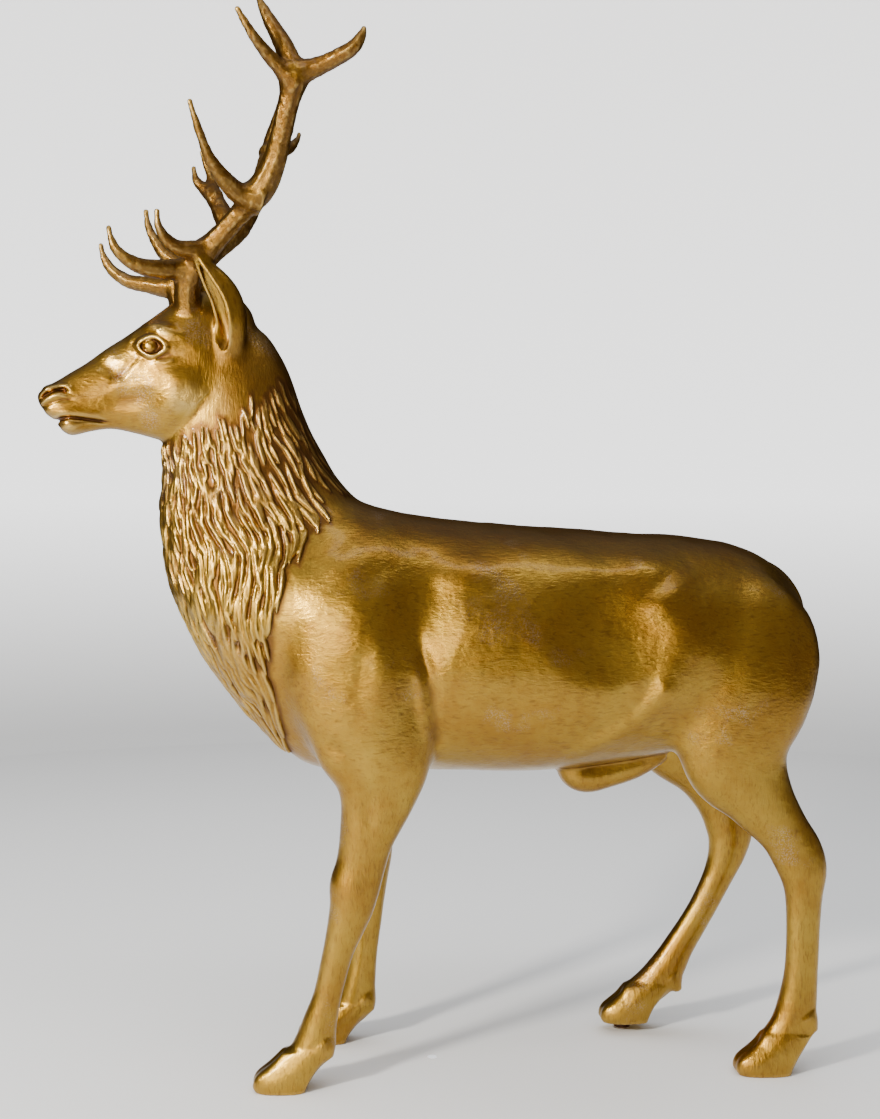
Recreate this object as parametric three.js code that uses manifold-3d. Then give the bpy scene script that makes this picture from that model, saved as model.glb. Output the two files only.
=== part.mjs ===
/*
 * A standing red-deer stag, cast life-size in bronze as one hollow piece, with its head
 * turned a little to its left, twelve-point antlers, a long-haired ruff down the throat,
 * and a short levelling stud under the right hind hoof.
 *
 * Millimetres.  The stag looks along -X, its left side is -Y, and +Z is up.  Sections are
 * named in a working frame with X = 0 behind the elbow, and the whole is shifted at the
 * end, so that the origin is on the ground under the middle of the finished statue.
 */
import * as THREE from "three";
import { mergeVertices } from "three/addons/utils/BufferGeometryUtils.js";
import Module from "manifold-3d";

const wasm = await Module();
wasm.setup();

// ---- driving sizes ---------------------------------------------------------------------

const HEAD_TURN = THREE.MathUtils.degToRad(8); // about the vertical, towards the left
const HEAD_PIVOT = -470; // X of the joint of skull and neck
const STUD_HEIGHT = 20; // the right hind hoof stands this high off the ground
const STUD_WIDTH = 36;
const GAP = 0.4; // between the hoof and its stud

const TRUNK_AROUND = 24;
const LIMB_AROUND = 12;
const HEAD_AROUND = 20;
const TINE_AROUND = 6;

const LOCKS = 20; // locks of hair side by side around the ruff
const LOCK_RISE = 17; // how far a lock stands off the neck at its thick end
const LOCK_ROWS = 2.8; // rows of sections along one lock
const LOCK_SWAY = 0.32; // how far a lock wanders sideways, in lock widths
const RUFF_REACH = THREE.MathUtils.degToRad(122); // from the throat round to the last lock

const EYE_RADIUS = 15;
const CLAW_HALF = 22; // half the width of one claw of a hoof
const CLAW_APART = 20; // from the middle of the hoof to the middle of a claw

// [x, top, bottom, half width] from the breast to the rump
const TRUNK = [
  [-505, 1097, 897, 60],
  [-440, 1172, 792, 128],
  [-350, 1214, 696, 172],
  [-300, 1222, 654, 186],
  [-250, 1220, 635, 196],
  [-150, 1196, 628, 205],
  [-20, 1167, 630, 208],
  [110, 1155, 625, 216],
  [240, 1146, 626, 222],
  [350, 1137, 638, 216],
  [460, 1134, 654, 204],
  [560, 1124, 674, 192],
  [655, 1100, 700, 174],
  [728, 1056, 740, 146],
  [782, 987, 784, 104],
  [812, 912, 834, 50],
];

// [front x, front z, back x, back z, half width] from inside the skull down to the brisket
const NECK = [
  [-545, 1432, -425, 1587, 66],
  [-590, 1332, -372, 1567, 83],
  [-586, 1267, -326, 1477, 93],
  [-590, 1197, -287, 1379, 106],
  [-586, 1127, -232, 1264, 128],
  [-577, 1057, -170, 1182, 152],
  [-556, 992, -190, 1097, 168],
  [-525, 922, -228, 1002, 172],
  [-480, 850, -252, 917, 162],
  [-420, 777, -262, 832, 136],
  [-325, 688, -262, 710, 60],
];

// [top x, top z, bottom x, bottom z, half width] from the nose to the back of the skull
const HEAD = [
  [-846, 1422, -843, 1408, 9],
  [-837, 1432, -835, 1394, 27],
  [-818, 1445, -816, 1375, 36],
  [-800, 1455, -797, 1352, 40],
  [-783, 1467, -777, 1338, 40],
  [-745, 1491, -738, 1347, 41],
  [-706, 1521, -695, 1353, 46],
  [-661, 1551, -648, 1345, 57],
  [-600, 1597, -580, 1329, 80],
  [-560, 1627, -545, 1339, 85],
  [-510, 1647, -505, 1358, 84],
  [-445, 1645, -468, 1384, 78],
  [-404, 1607, -438, 1422, 66],
  [-395, 1564, -420, 1472, 44],
];

// [x, y, z, half depth, half width] from the shoulder blade or hip down to the coronet
const LEFT_FORE = [
  [-150, -92, 1142, 66, 40],
  [-188, -124, 1052, 112, 60],
  [-206, -142, 952, 132, 70],
  [-190, -150, 842, 140, 72],
  [-160, -150, 742, 126, 66],
  [-140, -147, 658, 112, 57],
  [-142, -142, 595, 82, 46],
  [-162, -136, 515, 58, 38],
  [-175, -132, 455, 52, 35],
  [-187, -131, 412, 53, 37],
  [-195, -131, 365, 46, 35],
  [-218, -131, 290, 34, 26],
  [-231, -131, 240, 31, 24],
  [-244, -131, 185, 31, 24],
  [-260, -131, 130, 37, 28],
  [-270, -131, 90, 43, 31],
  [-294, -131, 60, 37, 30],
  [-310, -131, 42, 37, 30],
];
const RIGHT_FORE = [
  [-150, 92, 1142, 66, 40],
  [-188, 124, 1052, 112, 60],
  [-202, 142, 952, 132, 70],
  [-186, 150, 842, 140, 72],
  [-156, 150, 742, 126, 66],
  [-132, 148, 658, 110, 57],
  [-132, 144, 585, 80, 46],
  [-138, 141, 512, 56, 38],
  [-142, 140, 450, 50, 35],
  [-147, 139, 410, 51, 37],
  [-148, 139, 360, 43, 34],
  [-149, 139, 290, 34, 26],
  [-154, 139, 235, 31, 24],
  [-161, 139, 180, 32, 24],
  [-169, 139, 128, 37, 28],
  [-176, 139, 88, 43, 31],
  [-199, 139, 60, 37, 30],
  [-214, 139, 42, 37, 30],
];
const LEFT_HIND = [
  [590, -80, 1072, 80, 45],
  [632, -105, 997, 122, 62],
  [648, -118, 912, 144, 74],
  [642, -126, 822, 143, 79],
  [618, -130, 742, 134, 72],
  [618, -132, 660, 119, 58],
  [664, -130, 580, 78, 46],
  [715, -128, 510, 57, 36],
  [745, -127, 462, 57, 33],
  [759, -127, 420, 53, 32],
  [761, -127, 368, 41, 28],
  [759, -127, 290, 37, 25],
  [755, -127, 213, 37, 25],
  [745, -127, 135, 44, 29],
  [734, -127, 96, 47, 31],
  [708, -127, 66, 41, 30],
  [694, -127, 48, 40, 30],
];
const RIGHT_HIND = [
  [590, 80, 1072, 80, 45],
  [628, 105, 997, 122, 62],
  [628, 118, 912, 140, 74],
  [604, 128, 822, 140, 78],
  [562, 134, 742, 128, 70],
  [556, 138, 666, 102, 58],
  [614, 142, 590, 68, 44],
  [655, 145, 520, 54, 36],
  [680, 147, 458, 55, 33],
  [677, 149, 408, 46, 32],
  [659, 151, 355, 37, 28],
  [630, 152, 295, 33, 25],
  [597, 153, 238, 33, 25],
  [562, 154, 182, 36, 27],
  [536, 154, 138, 42, 30],
  [506, 154, 104, 42, 31],
  [472, 154, 80, 38, 30],
  [452, 154, 64, 37, 30],
];

// [heel x, y, sole z, length] of each hoof
const LEFT_FORE_HOOF = [-288, -131, 0, 101];
const RIGHT_FORE_HOOF = [-200, 139, 0, 101];
const LEFT_HIND_HOOF = [726, -127, 0, 109];
const RIGHT_HIND_HOOF = [486, 154, STUD_HEIGHT, 101];
// [height, heel moved back, toe moved back] up one hoof, from the sole to the coronet
const HOOF = [
  [0, 0, 0],
  [12, 4, -6],
  [32, 14, 1],
  [54, 28, 34],
];

// [hoof, base x, base z, tip x, tip z] of the dewclaws behind each fetlock
const DEWCLAWS = [
  [LEFT_FORE_HOOF, -250, 84, -224, 56],
  [RIGHT_FORE_HOOF, -154, 84, -132, 60],
  [LEFT_HIND_HOOF, 764, 108, 794, 84],
  [RIGHT_HIND_HOOF, 546, 106, 578, 80],
];
const DEWCLAW_APART = 20;

// [x, y, z, half depth, half width]
const TAIL = [
  [690, 0, 1064, 14, 20],
  [722, 0, 1042, 19, 28],
  [752, 0, 1010, 20, 29],
  [777, 0, 974, 17, 23],
  [793, 0, 938, 7, 10],
];
const SHEATH = [
  [263, 0, 642, 14, 24],
  [286, 0, 620, 32, 36],
  [318, 0, 607, 36, 38],
  [368, 0, 616, 34, 36],
  [428, 0, 632, 30, 34],
  [490, 0, 656, 18, 26],
];
const LEFT_EAR = [
  [-456, -64, 1492, 24, 18],
  [-452, -80, 1537, 29, 25],
  [-454, -91, 1582, 33, 28],
  [-468, -100, 1624, 32, 24],
  [-492, -108, 1660, 25, 17],
  [-515, -114, 1690, 12, 9],
  [-526, -116, 1703, 4, 4],
];

// [x, y, z, radius] along the beam and tines, in the frame of the unturned head
const LEFT_ANTLER = {
  beam: [
    [-538, -42, 1597, 27],
    [-541, -56, 1642, 27],
    [-530, -70, 1682, 30],
    [-506, -94, 1715, 26],
    [-474, -122, 1749, 22],
    [-436, -155, 1790, 22],
    [-401, -188, 1830, 28],
    [-380, -212, 1875, 24],
    [-367, -238, 1927, 21],
    [-356, -262, 1982, 21],
    [-346, -276, 2022, 25],
    [-338, -282, 2048, 20],
  ],
  brow: [
    [-528, -66, 1678, 21],
    [-560, -74, 1680, 21],
    [-596, -86, 1677, 20],
    [-634, -97, 1679, 17],
    [-666, -107, 1692, 13],
    [-688, -112, 1712, 10],
    [-698, -112, 1738, 6],
    [-701, -110, 1758, 2],
  ],
  bez: [
    [-500, -98, 1718, 18],
    [-534, -112, 1715, 19],
    [-566, -123, 1717, 15],
    [-589, -135, 1731, 12],
    [-604, -145, 1756, 8],
    [-606, -148, 1788, 2],
  ],
  trez: [
    [-404, -180, 1812, 32],
    [-447, -190, 1818, 22],
    [-480, -215, 1841, 17],
    [-506, -235, 1870, 12],
    [-523, -250, 1904, 9],
    [-537, -262, 1940, 7],
    [-550, -270, 1978, 2],
  ],
  front: [
    [-344, -280, 2034, 23],
    [-365, -275, 2088, 19],
    [-389, -262, 2137, 14],
    [-406, -250, 2174, 9],
    [-417, -243, 2198, 2],
  ],
  outer: [
    [-350, -280, 2017, 20],
    [-376, -295, 2040, 15],
    [-401, -306, 2062, 13],
    [-430, -325, 2089, 10],
    [-451, -335, 2116, 7],
    [-465, -340, 2138, 2],
  ],
  rear: [
    [-342, -280, 2036, 23],
    [-315, -291, 2045, 20],
    [-289, -304, 2054, 17],
    [-264, -318, 2065, 16],
    [-239, -330, 2080, 14],
    [-224, -338, 2100, 10],
    [-218, -341, 2120, 4],
  ],
};
const RIGHT_ANTLER = {
  beam: [
    [-538, 42, 1597, 27],
    [-550, 60, 1647, 27],
    [-543, 72, 1684, 29],
    [-510, 96, 1718, 26],
    [-471, 125, 1760, 24],
    [-425, 156, 1804, 23],
    [-393, 184, 1854, 22],
    [-367, 216, 1918, 20],
    [-348, 250, 1982, 20],
    [-334, 274, 2026, 19],
  ],
  brow: [
    [-540, 68, 1672, 22],
    [-578, 77, 1667, 23],
    [-618, 87, 1672, 18],
    [-659, 97, 1680, 15],
    [-691, 105, 1701, 12],
    [-708, 110, 1726, 9],
    [-715, 111, 1746, 5],
    [-717, 110, 1762, 2],
  ],
  bez: [
    [-512, 98, 1717, 18],
    [-550, 110, 1724, 16],
    [-580, 120, 1744, 14],
    [-601, 130, 1775, 11],
    [-616, 140, 1810, 8],
    [-621, 145, 1847, 2],
  ],
  trez: [
    [-424, 158, 1800, 26],
    [-438, 174, 1828, 26],
    [-452, 191, 1860, 22],
    [-464, 210, 1896, 17],
    [-474, 236, 1950, 10],
    [-486, 245, 1986, 7],
    [-494, 251, 2010, 2],
  ],
  fork: [
    [-466, 208, 1892, 16],
    [-488, 222, 1914, 12],
    [-506, 233, 1938, 9],
    [-512, 240, 1971, 2],
  ],
  front: [
    [-336, 270, 2016, 18],
    [-322, 276, 2072, 15],
    [-308, 272, 2132, 10],
    [-294, 261, 2187, 2],
  ],
  outer: [
    [-335, 272, 2012, 17],
    [-325, 292, 2072, 13],
    [-312, 308, 2122, 9],
    [-299, 320, 2164, 2],
  ],
  rear: [
    [-340, 266, 2010, 18],
    [-312, 288, 2026, 15],
    [-284, 312, 2042, 12],
    [-265, 331, 2066, 8],
    [-255, 344, 2089, 2],
  ],
};

// Soft swellings and hollows of one side: [x, y, z], half sizes and nose-up tilt
const ORBIT = { at: [-614, 58, 1526], half: [42, 25, 30], tilt: 0.3 };
const BROW_RIDGE = { at: [-596, 58, 1555], half: [40, 22, 15], tilt: 0.35 };
const CHEEK = { at: [-545, 50, 1417], half: [72, 38, 56], tilt: 0.2 };
const NOSTRIL_RIM = { at: [-812, 23, 1424], half: [23, 16, 13], tilt: 0.4 };
const NOSTRIL = { at: [-810, 40, 1423], half: [25, 10, 6], tilt: 0.4 };
const MOUTH = { at: [-788, 42, 1380], half: [44, 14, 3.5], tilt: -0.28 };
const TEAR_GROOVE = { at: [-666, 61, 1467], half: [36, 8, 5], tilt: 0.87 };
const EYE_HOLLOW = { at: [-615, 90, 1521], half: [27, 12, 17], tilt: 0.08 };
const HIP_BONE = { at: [445, 128, 1032], half: [95, 52, 48], tilt: 0.1 };

// ---- shaping ---------------------------------------------------------------------------

/** A number raised to a power with its sign kept. */
const signedPower = (value, power) => Math.sign(value) * Math.abs(value) ** power;

/** The same list mirrored to the other side of the animal. */
const mirrored = (stations) => stations.map(([x, y, ...rest]) => [x, -y, ...rest]);

/** Rows of numbers on a smooth curve through the stations, `steps` to each stretch. */
function smoothed(stations, steps) {
  const rows = [];
  const last = stations.length - 1;
  for (let s = 0; s < last; s += 1) {
    const before = stations[Math.max(s - 1, 0)];
    const from = stations[s];
    const to = stations[s + 1];
    const after = stations[Math.min(s + 2, last)];
    for (let k = 0; k < steps; k += 1) {
      const t = k / steps;
      rows.push(from.map((value, i) => {
        const leave = (to[i] - before[i]) / 2;
        const arrive = (after[i] - value) / 2;
        const bend = 3 * (to[i] - value) - 2 * leave - arrive;
        const turn = 2 * (value - to[i]) + leave + arrive;
        return value + t * (leave + t * (bend + t * turn));
      }));
    }
  }
  rows.push(stations[last]);
  return rows;
}

/** One oval section: `long` and `wide` are its half-axes, `drop` the reach against `long`. */
function oval(centre, long, wide, drop, angles, power) {
  return angles.map((angle) => {
    const ahead = signedPower(Math.cos(angle), 2 / power);
    const aside = signedPower(Math.sin(angle), 2 / power);
    const reach = ahead < 0 ? ahead * drop : ahead;
    return centre.clone().addScaledVector(long, reach).addScaledVector(wide, aside);
  });
}

/** Evenly spaced angles, once around. */
const allRound = (count) => Array.from({ length: count }, (_, i) => (2 * Math.PI * i) / count);

/** A closed solid body from a geometry or from bare points and faces. */
function solidOf(geometry) {
  geometry.deleteAttribute("normal");
  geometry.deleteAttribute("uv");
  const welded = mergeVertices(geometry, 1e-3);
  return new wasm.Manifold(new wasm.Mesh({
    numProp: 3,
    vertProperties: new Float32Array(welded.attributes.position.array),
    triVerts: new Uint32Array(welded.index.array),
  }));
}

/** A solid skinned over sections that all have the same number of points. */
function loft(sections) {
  const count = sections[0].length;
  const points = sections.flat();
  const faces = [];
  for (let row = 0; row + 1 < sections.length; row += 1) {
    for (let i = 0; i < count; i += 1) {
      const a = row * count + i;
      const b = row * count + ((i + 1) % count);
      faces.push(a, b, b + count, a, b + count, a + count);
    }
  }
  for (const [row, flip] of [[0, true], [sections.length - 1, false]]) {
    const middle = new THREE.Vector3();
    sections[row].forEach((point) => middle.addScaledVector(point, 1 / count));
    points.push(middle);
    for (let i = 0; i < count; i += 1) {
      const a = row * count + i;
      const b = row * count + ((i + 1) % count);
      faces.push(points.length - 1, ...(flip ? [b, a] : [a, b]));
    }
  }
  let volume = 0;
  for (let f = 0; f < faces.length; f += 3) {
    const [a, b, c] = [0, 1, 2].map((k) => points[faces[f + k]]);
    volume += a.clone().cross(b).dot(c);
  }
  if (volume < 0) faces.reverse();
  const geometry = new THREE.BufferGeometry();
  geometry.setAttribute("position", new THREE.Float32BufferAttribute(
    points.flatMap((point) => [point.x, point.y, point.z]), 3));
  geometry.setIndex(faces);
  return solidOf(geometry);
}

/** A section between two opposite points of the middle plane. */
function paired([ax, az, bx, bz, half], share, angles, power) {
  const head = new THREE.Vector3(ax, 0, az);
  const foot = new THREE.Vector3(bx, 0, bz);
  const centre = head.clone().lerp(foot, share);
  const long = head.clone().sub(centre);
  const drop = (1 - share) / share;
  return oval(centre, long, new THREE.Vector3(0, half, 0), drop, angles, power);
}

/** A limb whose sections stand square to its middle line and stay level from side to side. */
function limb(stations, steps, count, power = 2.1) {
  const rows = smoothed(stations, steps);
  const angles = allRound(count);
  return loft(rows.map(([x, y, z, depth, width], i) => {
    const before = rows[Math.max(i - 1, 0)];
    const after = rows[Math.min(i + 1, rows.length - 1)];
    const along = new THREE.Vector3(after[0] - before[0], 0, after[2] - before[2]).normalize();
    const long = new THREE.Vector3(along.z, 0, -along.x).multiplyScalar(depth);
    const centre = new THREE.Vector3(x, y, z);
    return oval(centre, long, new THREE.Vector3(0, width, 0), 1, angles, power);
  }));
}

/** A round tapering tine, its sections carried along the curve without twisting. */
function tine(stations, steps, count) {
  const rows = smoothed(stations, steps);
  const places = rows.map(([x, y, z]) => new THREE.Vector3(x, y, z));
  const angles = allRound(count);
  const side = new THREE.Vector3(0, 1, 0);
  return loft(rows.map((row, i) => {
    const before = places[Math.max(i - 1, 0)];
    const after = places[Math.min(i + 1, places.length - 1)];
    const along = after.clone().sub(before).normalize();
    side.addScaledVector(along, -side.dot(along)).normalize();
    const wide = side.clone().multiplyScalar(row[3]);
    const long = along.clone().cross(side).multiplyScalar(row[3]);
    return oval(places[i], long, wide, 1, angles, 2);
  }));
}

/** A soft lump, tilted nose-up in the plane of the animal, on the chosen side. */
function lump({ at, half, tilt }, side, across = 8, down = 6) {
  const ball = new THREE.SphereGeometry(1, across, down);
  ball.scale(...half);
  ball.rotateY(tilt);
  ball.translate(at[0], at[1] * side, at[2]);
  return solidOf(ball);
}

const join = (solids) => solids.reduce((whole, solid) => whole.add(solid));

// ---- the parts of the animal -----------------------------------------------------------

function trunk() {
  const angles = allRound(TRUNK_AROUND);
  const rows = smoothed(TRUNK, 1);
  return loft(rows.map(([x, top, bottom, half]) => (
    paired([x, top, x, bottom, half], 0.54, angles, 2.15))));
}

/** The neck with its ruff: long wavy locks, each thickening to a tip that overlaps the next. */
function neck() {
  const perSide = LOCKS;
  const angles = [];
  for (let i = -perSide; i <= perSide; i += 1) angles.push((i / perSide) * RUFF_REACH);
  const bare = 2 * (Math.PI - RUFF_REACH);
  for (let i = 1; i < 5; i += 1) angles.push(RUFF_REACH + (bare * i) / 5);
  const rows = smoothed(NECK, 2);
  return loft(rows.map((row, r) => {
    const sway = angles.map((angle, i) => (
      angle + (LOCK_SWAY * RUFF_REACH / perSide) * Math.sin(r * 1.1 + Math.floor(i / 2) * 1.9)));
    const ring = paired(row, 0.5, sway, 2.1);
    const middle = new THREE.Vector3((row[0] + row[2]) / 2, 0, (row[1] + row[3]) / 2);
    return ring.map((point, i) => {
      const lock = Math.floor(i / 2);
      const along = r / LOCK_ROWS + ((lock * 0.618) % 1);
      const thickness = 0.25 + 0.75 * (along % 1);
      const fromThroat = Math.abs(angles[i]) / RUFF_REACH;
      const edge = THREE.MathUtils.clamp((1.02 - fromThroat) * 5, 0, 1);
      const start = THREE.MathUtils.clamp((r - 2) / 3, 0, 1);
      const crest = i % 2 === 1 && i < 2 * perSide ? 1 : 0;
      const rise = LOCK_RISE * crest * thickness * edge * start;
      const out = point.clone().sub(middle).normalize();
      return point.addScaledVector(out, rise);
    });
  }));
}

function skull() {
  const angles = allRound(HEAD_AROUND);
  const rows = smoothed(HEAD, 1);
  return loft(rows.map((row) => paired(row, 0.52, angles, 2.2)));
}

/** An ear: a leaf-shaped cup that opens outwards and a little forwards. */
function ear(side) {
  const stations = side < 0 ? LEFT_EAR : mirrored(LEFT_EAR);
  const leaf = limb(stations, 1, 10, 2);
  const hollow = stations.slice(1, -1).map(([x, y, z, depth, width]) => (
    [x - 5, y + side * width * 0.95, z + 4, depth * 0.74, width * 0.85]));
  return leaf.subtract(limb(hollow, 1, 6, 2));
}

function antler(parts, steps) {
  const [beam, ...tines] = Object.values(parts);
  return join([
    tine(beam, steps, TINE_AROUND + 2),
    ...tines.map((stations) => tine(stations, 1, TINE_AROUND)),
  ]);
}

function head() {
  let whole = skull();
  for (const side of [-1, 1]) {
    const swellings = [ORBIT, BROW_RIDGE, CHEEK, NOSTRIL_RIM];
    whole = join([whole, ...swellings.map((shape) => lump(shape, side))]);
    const hollows = [NOSTRIL, MOUTH, TEAR_GROOVE, EYE_HOLLOW];
    for (const shape of hollows) whole = whole.subtract(lump(shape, side, 8, 4));
    const [x, y, z] = EYE_HOLLOW.at;
    const eye = { at: [x, y - EYE_RADIUS - 1, z], half: Array(3).fill(EYE_RADIUS), tilt: 0 };
    whole = join([whole, lump(eye, side, 8, 6), ear(side)]);
  }
  whole = join([whole, antler(LEFT_ANTLER, 1), antler(RIGHT_ANTLER, 1)]);
  return whole
    .translate([-HEAD_PIVOT, 0, 0])
    .rotate([0, 0, THREE.MathUtils.radToDeg(HEAD_TURN)])
    .translate([HEAD_PIVOT, 0, 0]);
}

/** A cloven hoof: two flat-soled claws side by side, joined at the coronet. */
function hoof([heel, y, sole, length]) {
  const angles = allRound(10);
  const claws = [-1, 1].map((side) => loft(HOOF.map(([height, back, toe], row) => {
    const rear = heel + back;
    const tip = heel - length + toe;
    const centre = new THREE.Vector3((rear + tip) / 2, y + side * CLAW_APART, sole + height);
    const long = new THREE.Vector3((tip - rear) / 2, side * -4, 0);
    const width = CLAW_HALF * [0.92, 1, 0.94, 0.72][row];
    return oval(centre, long, new THREE.Vector3(0, width, 0), 1, angles, 2.3);
  })));
  return join(claws);
}

function dewclaws([[, y], baseX, baseZ, tipX, tipZ]) {
  return join([-1, 1].map((side) => tine([
    [baseX, y + side * (DEWCLAW_APART - 4), baseZ, 15],
    [(baseX + tipX) / 2, y + side * DEWCLAW_APART, (baseZ + tipZ) / 2 + 3, 13],
    [tipX, y + side * (DEWCLAW_APART + 2), tipZ, 5],
  ], 1, TINE_AROUND)));
}

/** The whole casting. */
function stag() {
  const legs = [LEFT_FORE, RIGHT_FORE, LEFT_HIND, RIGHT_HIND];
  const hooves = [LEFT_FORE_HOOF, RIGHT_FORE_HOOF, LEFT_HIND_HOOF, RIGHT_HIND_HOOF];
  return join([
    trunk(),
    neck(),
    head(),
    ...legs.map((stations) => limb(stations, 1, LIMB_AROUND)),
    ...hooves.map(hoof),
    ...DEWCLAWS.map(dewclaws),
    limb(TAIL, 1, 10),
    limb(SHEATH, 1, 12),
    lump(HIP_BONE, -1),
    lump(HIP_BONE, 1),
  ]);
}

/** The short stud that levels the raised hoof. */
function stud() {
  const [heel, y, sole, length] = RIGHT_HIND_HOOF;
  const height = sole - GAP;
  const post = new THREE.CylinderGeometry(STUD_WIDTH / 2, STUD_WIDTH / 2, height, 20);
  post.rotateX(Math.PI / 2);
  post.translate(heel - length / 2, y + CLAW_APART, height / 2);
  return solidOf(post);
}

// ---- assembly --------------------------------------------------------------------------

const bronze = new THREE.MeshStandardMaterial({ color: 0xb08a2e, roughness: 0.32, metalness: 1 });
const iron = new THREE.MeshStandardMaterial({ color: 0x3b2416, roughness: 0.6, metalness: 0.8 });

const casting = stag();
const bounds = casting.boundingBox();
const middle = [0, 1].map((axis) => (bounds.min[axis] + bounds.max[axis]) / 2);

function meshOf(name, solid, material) {
  const { vertProperties, triVerts } = solid.translate([-middle[0], -middle[1], 0]).getMesh();
  const geometry = new THREE.BufferGeometry();
  geometry.setAttribute("position", new THREE.BufferAttribute(vertProperties, 3));
  geometry.setIndex(new THREE.BufferAttribute(triVerts, 1));
  geometry.computeVertexNormals();
  const mesh = new THREE.Mesh(geometry, material);
  mesh.name = name;
  return mesh;
}

const group = new THREE.Group();
group.name = "deer_sculpture";
group.add(meshOf("stag", casting, bronze));
group.add(meshOf("levelling_stud", stud(), iron));

export default group;
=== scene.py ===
"""A life-size standing red-deer stag, cast in bronze and gilded, on a pale studio floor.

The casting is sculpted as one closed skin from the same sections as the solid that it stands
for: soft muscle forms, a ruff of long wavy locks, a modelled face, cupped ears, grooved
antlers and cloven hooves.  Sizes inside are millimetres in the sculptor's frame, where X = 0
lies behind the elbow, the stag looks along -X, its left side is -Y and +Z is up; the finished
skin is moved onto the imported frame, in metres.
"""
import math
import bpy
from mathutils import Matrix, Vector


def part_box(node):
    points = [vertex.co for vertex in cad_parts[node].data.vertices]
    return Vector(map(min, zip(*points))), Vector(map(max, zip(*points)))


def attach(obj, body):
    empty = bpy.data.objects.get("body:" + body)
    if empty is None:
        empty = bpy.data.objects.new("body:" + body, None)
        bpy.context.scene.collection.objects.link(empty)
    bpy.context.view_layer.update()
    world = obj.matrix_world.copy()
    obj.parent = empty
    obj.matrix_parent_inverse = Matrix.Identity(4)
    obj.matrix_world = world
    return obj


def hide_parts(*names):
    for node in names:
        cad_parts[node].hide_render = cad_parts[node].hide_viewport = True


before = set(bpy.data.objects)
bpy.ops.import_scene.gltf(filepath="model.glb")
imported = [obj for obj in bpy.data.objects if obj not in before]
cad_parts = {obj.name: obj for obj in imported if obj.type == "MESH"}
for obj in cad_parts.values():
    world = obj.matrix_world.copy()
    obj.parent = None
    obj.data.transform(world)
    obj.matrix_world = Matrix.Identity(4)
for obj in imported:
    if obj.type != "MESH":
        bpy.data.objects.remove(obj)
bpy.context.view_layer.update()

from concurrent.futures import ThreadPoolExecutor

import bpy
import numpy as np
import openvdb
from bpy.props import FloatProperty, FloatVectorProperty, IntProperty, PointerProperty
from bpy.types import Operator, Panel, PropertyGroup
from mathutils import Vector

bl_info = {
    "name": "Bronze Stag",
    "version": (1, 0, 0),
    "blender": (4, 5, 0),
    "location": "3D View > Sidebar > Bronze Stag",
    "description": "Builds a gilded bronze stag, its levelling stud and a plain studio",
    "category": "Object",
}

MM = 0.001
HEAD_TURN = math.radians(8)     # to the left, about the joint of skull and neck
HEAD_PIVOT = -470.0
STUD_HEIGHT = 20.0
CLAW_HALF = 22.0                # half the width of one claw of a hoof
CLAW_APART = 17.0
STUD_ASIDE = 20.0               # how far the stud stands outside the middle of its hoof
TINE_END = 5.5                  # rounding of each tine's tip
EYE_AT = (-615.0, 1521.0)
EYE_HALF = (25.0, 18.5)
EYE_TILT = 0.1
EYEBALL = 19.0
FINE_HEIGHT = (500, 690)        # between these heights the slim legs become the broad body
# how widely each form is rounded into what it joins
SHARP = 0.001
HEAD_BLEND, EAR_BLEND, HORN_BLEND, TINE_BLEND = 16, 15, 14, 15
HOOF_BLEND, DEWCLAW_BLEND, SHEATH_BLEND, TAIL_BLEND, LOCK_BLEND = 15, 14, 14, 4, 1.0
BLOCK = 88                      # cells along one side of a block of the casting

# The studio, in metres
FLOOR_RADIUS = 4.5
SWEEP_RADIUS = 5.0
WALL_TOP = 9.0
WALL_GLOW = 1.75
CAMERA_AT = (-0.2548, -3.1054, 1.163)
CAMERA_TURN = math.radians(-5)
CAMERA_SHIFT = -0.0353


def table(columns, text):
    """Rows of numbers written out as plain text."""
    return np.array(text.split(), float).reshape(-1, columns).tolist()


# [x, top, bottom, half width] from the breast to the rump
TRUNK = table(4, """
    -505 1097 897 60   -440 1172 792 128   -350 1214 696 172   -300 1222 654 186
    -250 1220 635 196   -150 1196 628 205   -20 1167 630 208   110 1155 625 216
    240 1146 626 222   350 1137 638 216   460 1134 654 204   560 1124 674 192   655 1105 700 174
    728 1068 740 146   782 1000 784 104   812 912 834 50""")
# [front x, front z, back x, back z, half width] from inside the skull down to the brisket
NECK = table(5, """
    -545 1432 -425 1587 66   -590 1332 -372 1567 83   -586 1267 -326 1477 93
    -590 1197 -287 1379 106   -586 1127 -232 1264 128   -577 1057 -170 1182 152
    -556 992 -190 1097 168   -525 922 -228 1002 172   -480 850 -252 917 162
    -420 777 -262 832 136   -325 688 -262 710 60""")
# [top x, top z, bottom x, bottom z, half width] from the nose to the back of the skull
HEAD = table(5, """
    -846 1422 -843 1408 9   -837 1432 -835 1394 27   -818 1445 -816 1375 36
    -800 1455 -797 1352 40   -783 1467 -777 1338 40   -745 1491 -738 1347 41
    -706 1521 -695 1353 46   -661 1551 -648 1345 57   -600 1597 -580 1329 80
    -560 1627 -545 1339 85   -510 1647 -505 1358 84   -445 1645 -468 1384 78
    -404 1607 -438 1422 66   -395 1564 -420 1472 44""")
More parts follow.
